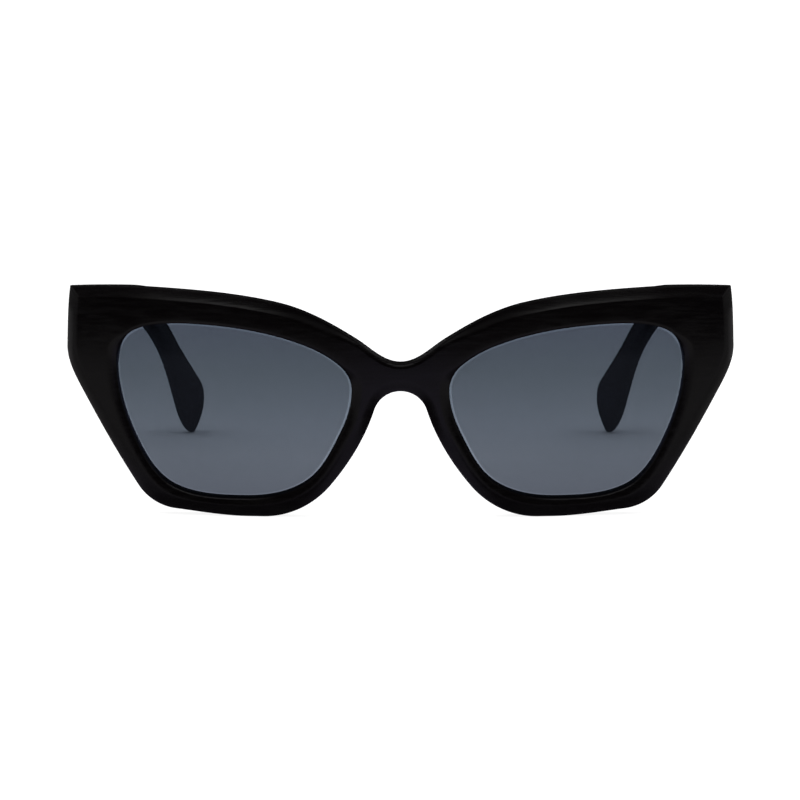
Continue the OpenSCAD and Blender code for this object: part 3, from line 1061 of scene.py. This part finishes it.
def smoke_lens_material(name, light=1.0):
    """Grey-blue gradient tint with a clear polished surface and a little haze. A light above 1
    makes the tint lighter, a painted highlight.
    """
    material, n = new_material(name)
    place = n.add("ShaderNodeTexCoord").outputs["Object"]
    height = n.split(place)[2]
    low, high = TINT[0][0], TINT[-1][0]
    share = n.add("ShaderNodeMapRange", {"Value": height, "From Min": low * MM,
                                         "From Max": high * MM}).outputs["Result"]
    ramp = n.add("ShaderNodeValToRGB", {"Fac": share})
    elements = ramp.color_ramp.elements
    while len(elements) < len(TINT):
        elements.new(0.5)
    for element, (z, passed) in zip(elements, TINT):
        element.position = (z - low) / (high - low)
        element.color = (*[math.sqrt(v * light) for v in passed], 1)
    haze = n.noise(place, 0.5, detail=3)
    clear = n.add("ShaderNodeBsdfTransparent", {"Color": ramp.outputs["Color"]})
    gloss = n.add("ShaderNodeBsdfGlossy", {
        "Color": LENS_GLOSS, "Roughness": n.remap(haze, 0.3, 0.75, 0.02, 0.07)})
    veil = n.add("ShaderNodeBsdfDiffuse", {"Color": LENS_VEIL})
    hazed = n.add("ShaderNodeMixShader", {0: VEIL, 1: clear.outputs[0], 2: veil.outputs[0]})
    fresnel = n.add("ShaderNodeFresnel", {"IOR": LENS_IOR})
    outside = n.math("SUBTRACT", 1.0, n.add("ShaderNodeNewGeometry").outputs["Backfacing"])
    mirror = n.product(fresnel.outputs[0], outside)
    surface = n.add("ShaderNodeMixShader",
                    {0: mirror, 1: hazed.outputs[0], 2: gloss.outputs[0]})
    n.add("ShaderNodeOutputMaterial", {"Surface": surface.outputs[0]})
    return material


def metal(name, colour, rough, grain, brushed):
    """Metal with a brushed or turned grain, small tone changes and finger-worn patches."""
    material, n = new_material(name)
    place = n.add("ShaderNodeTexCoord").outputs["Object"]
    patches = n.noise(place, 0.5, detail=3)
    lines = n.noise(place, 9.0, grain, detail=3, rough=0.6)
    tint = n.colours(patches, tuple(c * 0.82 for c in colour), colour)
    roughness = n.math("ADD", n.remap(patches, 0.3, 0.7, rough, rough + 0.12),
                       n.product(lines, 0.08))
    bump = n.add("ShaderNodeBump", {"Strength": brushed, "Distance": 0.02 * MM, "Height": lines})
    shader = n.add("ShaderNodeBsdfPrincipled", {
        "Base Color": tint, "Metallic": 1.0, "Roughness": roughness, "Normal": bump.outputs[0]})
    n.add("ShaderNodeOutputMaterial", {"Surface": shader.outputs[0]})
    return material


# -------------------------------- assembly

def place_piece(obj, material, body, node):
    """Gives a piece its material or list of materials and lets it stand in for its CAD node."""
    parts = [p.material_index for p in obj.data.polygons]
    obj.data.materials.clear()
    for one in material if isinstance(material, list) else [material]:
        obj.data.materials.append(one)
    obj.data.polygons.foreach_set("material_index", parts)
    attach(obj, body)
    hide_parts(node)


def build_pieces():
    """Makes all 15 pieces and puts each on its body."""
    black = acetate("black_acetate", (14, 2.0, 1.0), brow=1.4)
    arm_black = acetate("temple_acetate", (1.0, 16, 2.0))
    pad_black = acetate("pad_acetate", (1.0, 1.0, 5.0), tone=1.2)
    # The second lens material is the tint made lighter: a painted highlight on the eased edges
    tint = [smoke_lens_material("smoke_lens"),
            smoke_lens_material("lens_eased_edge_painted_highlight", EASED_EDGE_PAINTED_HIGHLIGHT)]
    nickel = metal("hinge_metal", (0.66, 0.64, 0.60), 0.22, (1.0, 6.0, 0.4), 0.25)
    turned_steel = metal("screw_steel", (0.60, 0.60, 0.61), 0.18, (6.0, 6.0, 0.3), 0.35)
    wire_steel = metal("core_steel", (0.52, 0.51, 0.50), 0.30, (1.0, 12.0, 1.0), 0.2)

    front = front_frame()
    for side in SIDES:
        boolean(front, front_plate(side, POCKET_PLAY), sharp=50)
    place_piece(front, black, "front", "front_frame")
    for side in SIDES:
        arm = side + "_arm"
        place_piece(lens(side), tint, "front", side + "_lens")
        place_piece(nose_pad(side), pad_black, "front", side + "_nose_pad")
        place_piece(front_hinge(side), nickel, "front", side + "_front_hinge")
        place_piece(hinge_screw(side), turned_steel, "front",
                    side + "_hinge_screw")
        place_piece(temple(side), arm_black, arm, side + "_temple")
        place_piece(temple_hinge(side), nickel, arm, side + "_temple_hinge")
        place_piece(core_wire(side), wire_steel, arm, side + "_core_wire")


# -------------------------------- studio

# Brightness of the white room
WHITE = 1.25
# The table's colour, its own light under the front, and half its side in metres
FLOOR_TONE = 0.8
FLOOR_GLOW = 0.72
FLOOR_HALF = 6.0
# Light from the horizon and from overhead, and their mean on a level surface
CEILING = (0.4, 1.8)
CEILING_MEAN = 1.05
# What reflections see between the softboxes
ROOM_GLOW = 0.006


def softboxes(n, direction):
    """Light that reflections see in a direction: softboxes overhead, to the front on both
    sides, level with the glasses on both sides, and behind, in a dark room."""
    x, y, z = n.split(direction)
    aside = n.math("ABSOLUTE", x)
    overhead = n.product(n.remap(z, 0.50, 0.72, 0.0, 0.55), n.product(
        n.remap(aside, 0.22, 0.42, 1.0, 0.06),
        n.product(n.remap(z, 0.86, 0.98, 1.0, 0.05), n.remap(y, -0.1, 0.1, 1.0, 0.1))))
    shoulder = n.product(n.remap(aside, 0.42, 0.68, 0.0, 0.4),
                         n.product(n.remap(z, 0.25, 0.5), n.remap(y, -0.75, -0.45)))
    sideways = n.remap(aside, 0.65, 0.95, 0.0, 0.10)
    behind = n.product(n.remap(y, 0.35, 0.8, 0.0, 0.4),
                       n.product(n.remap(z, 0.30, 0.55), n.remap(aside, 0.2, 0.45, 0.2)))
    return n.math("ADD", n.largest(overhead, shoulder, sideways, behind), ROOM_GLOW)


def studio_world():
    """A white room for the eye and for soft light; reflections see its softboxes and dark walls."""
    world = bpy.data.worlds.new("studio")
    bpy.context.scene.world = world
    world.use_nodes = True
    n = Nodes(world.node_tree)
    direction = n.add("ShaderNodeTexCoord").outputs["Generated"]
    rays = n.add("ShaderNodeLightPath").outputs
    ceiling = n.product(n.remap(n.split(direction)[2], 0.5, 0.95, *CEILING),
                        WHITE / FLOOR_TONE / CEILING_MEAN)
    lit = n.add("ShaderNodeMix", {"Factor": rays["Is Camera Ray"], 2: ceiling, 3: WHITE})
    strength = n.add("ShaderNodeMix", {"Factor": rays["Is Glossy Ray"], 2: lit.outputs[0],
                                       3: softboxes(n, direction)})
    back = n.add("ShaderNodeBackground", {"Color": (1, 1, 1, 1), "Strength": strength.outputs[0]})
    n.add("ShaderNodeOutputWorld", {"Surface": back.outputs[0]})


def mirrored_table(n, place):
    """What reflections see of the table: dim pools in front, beside and behind the glasses."""
    x, depth = n.split(place)[:2]
    aside = n.math("ABSOLUTE", x)
    ahead = n.math("SUBTRACT", FRONT_Y * MM, depth)
    near = n.largest(n.remap(aside, 50 * MM, 75 * MM, 0.02, 0.14),
                     n.remap(aside, 8 * MM, 24 * MM, 0.14, 0.02))
    pool = n.product(n.remap(ahead, 15 * MM, 130 * MM, near, 0.19),
                     n.remap(ahead, 500 * MM, 1600 * MM, 1.0, 0.15))
    rear = n.remap(depth, (FRONT_Y + 150) * MM, (FRONT_Y + 300) * MM, 0.0, 0.25)
    flank = n.product(n.remap(aside, 90 * MM, 220 * MM, 0.0, 0.25),
                      n.remap(depth, FRONT_Y * MM, (FRONT_Y + 60) * MM))
    cool = n.colours(n.remap(aside, 30 * MM, 110 * MM), (1.0, 0.93, 1.28), (1.0, 0.98, 1.0))
    return n.add("ShaderNodeEmission", {"Color": cool, "Strength": n.largest(pool, rear, flank)})


def studio_floor():
    """A pale table top, shown dimmer to reflections so that it doesn't grey the black acetate."""
    material, n = new_material("pale_table")
    place = n.add("ShaderNodeTexCoord").outputs["Object"]
    paper = n.noise(place, 0.05, detail=4)
    pale = n.colours(paper, (FLOOR_TONE - 0.01,) * 3, (FLOOR_TONE + 0.01,) * 3)
    lit = n.add("ShaderNodeBsdfDiffuse", {"Color": pale})
    glow = n.add("ShaderNodeEmission", {"Color": (1, 1, 1, 1), "Strength": WHITE})
    depth = n.split(place)[1]
    share = n.remap(depth, (FRONT_Y + 40) * MM, (FRONT_Y + 110) * MM, FLOOR_GLOW, 0.0)
    seen = n.add("ShaderNodeMixShader", {0: share, 1: lit.outputs[0], 2: glow.outputs[0]})
    glossy_ray = n.add("ShaderNodeLightPath").outputs["Is Glossy Ray"]
    surface = n.add("ShaderNodeMixShader", {0: glossy_ray, 1: seen.outputs[0],
                                            2: mirrored_table(n, place).outputs[0]})
    n.add("ShaderNodeOutputMaterial", {"Surface": surface.outputs[0]})
    mesh = bpy.data.meshes.new("table_top")
    corners = [(x * FLOOR_HALF, y * FLOOR_HALF, 0) for x, y in ((-1, -1), (1, -1), (1, 1), (-1, 1))]
    mesh.from_pydata(corners, [], [(0, 1, 2, 3)])
    mesh.materials.append(material)
    floor = bpy.data.objects.new("table_top", mesh)
    floor.location.z = cad_low[2]
    bpy.context.scene.collection.objects.link(floor)


CAMERA_DISTANCE = 700.0
CAMERA_ELEVATION = 7.0
CAMERA_LENS, CAMERA_SENSOR = 144.5, 36.0
AIM = (-0.11, FRONT_Y + 4.0, 25.7)


def camera():
    """A long lens in front of the glasses and a little above them."""
    data = bpy.data.cameras.new("camera")
    data.lens = CAMERA_LENS
    data.sensor_width = CAMERA_SENSOR
    obj = bpy.data.objects.new("camera", data)
    aim = Vector(AIM) * MM
    tilt = math.radians(CAMERA_ELEVATION)
    away = Vector((0, -math.cos(tilt), math.sin(tilt)))
    obj.location = aim + away * CAMERA_DISTANCE * MM
    obj.rotation_euler = (-away).to_track_quat("-Z", "Y").to_euler()
    bpy.context.scene.collection.objects.link(obj)
    bpy.context.scene.camera = obj


build_pieces()
studio_world()
studio_floor()
camera()
bpy.context.scene.view_settings.view_transform = "Standard"
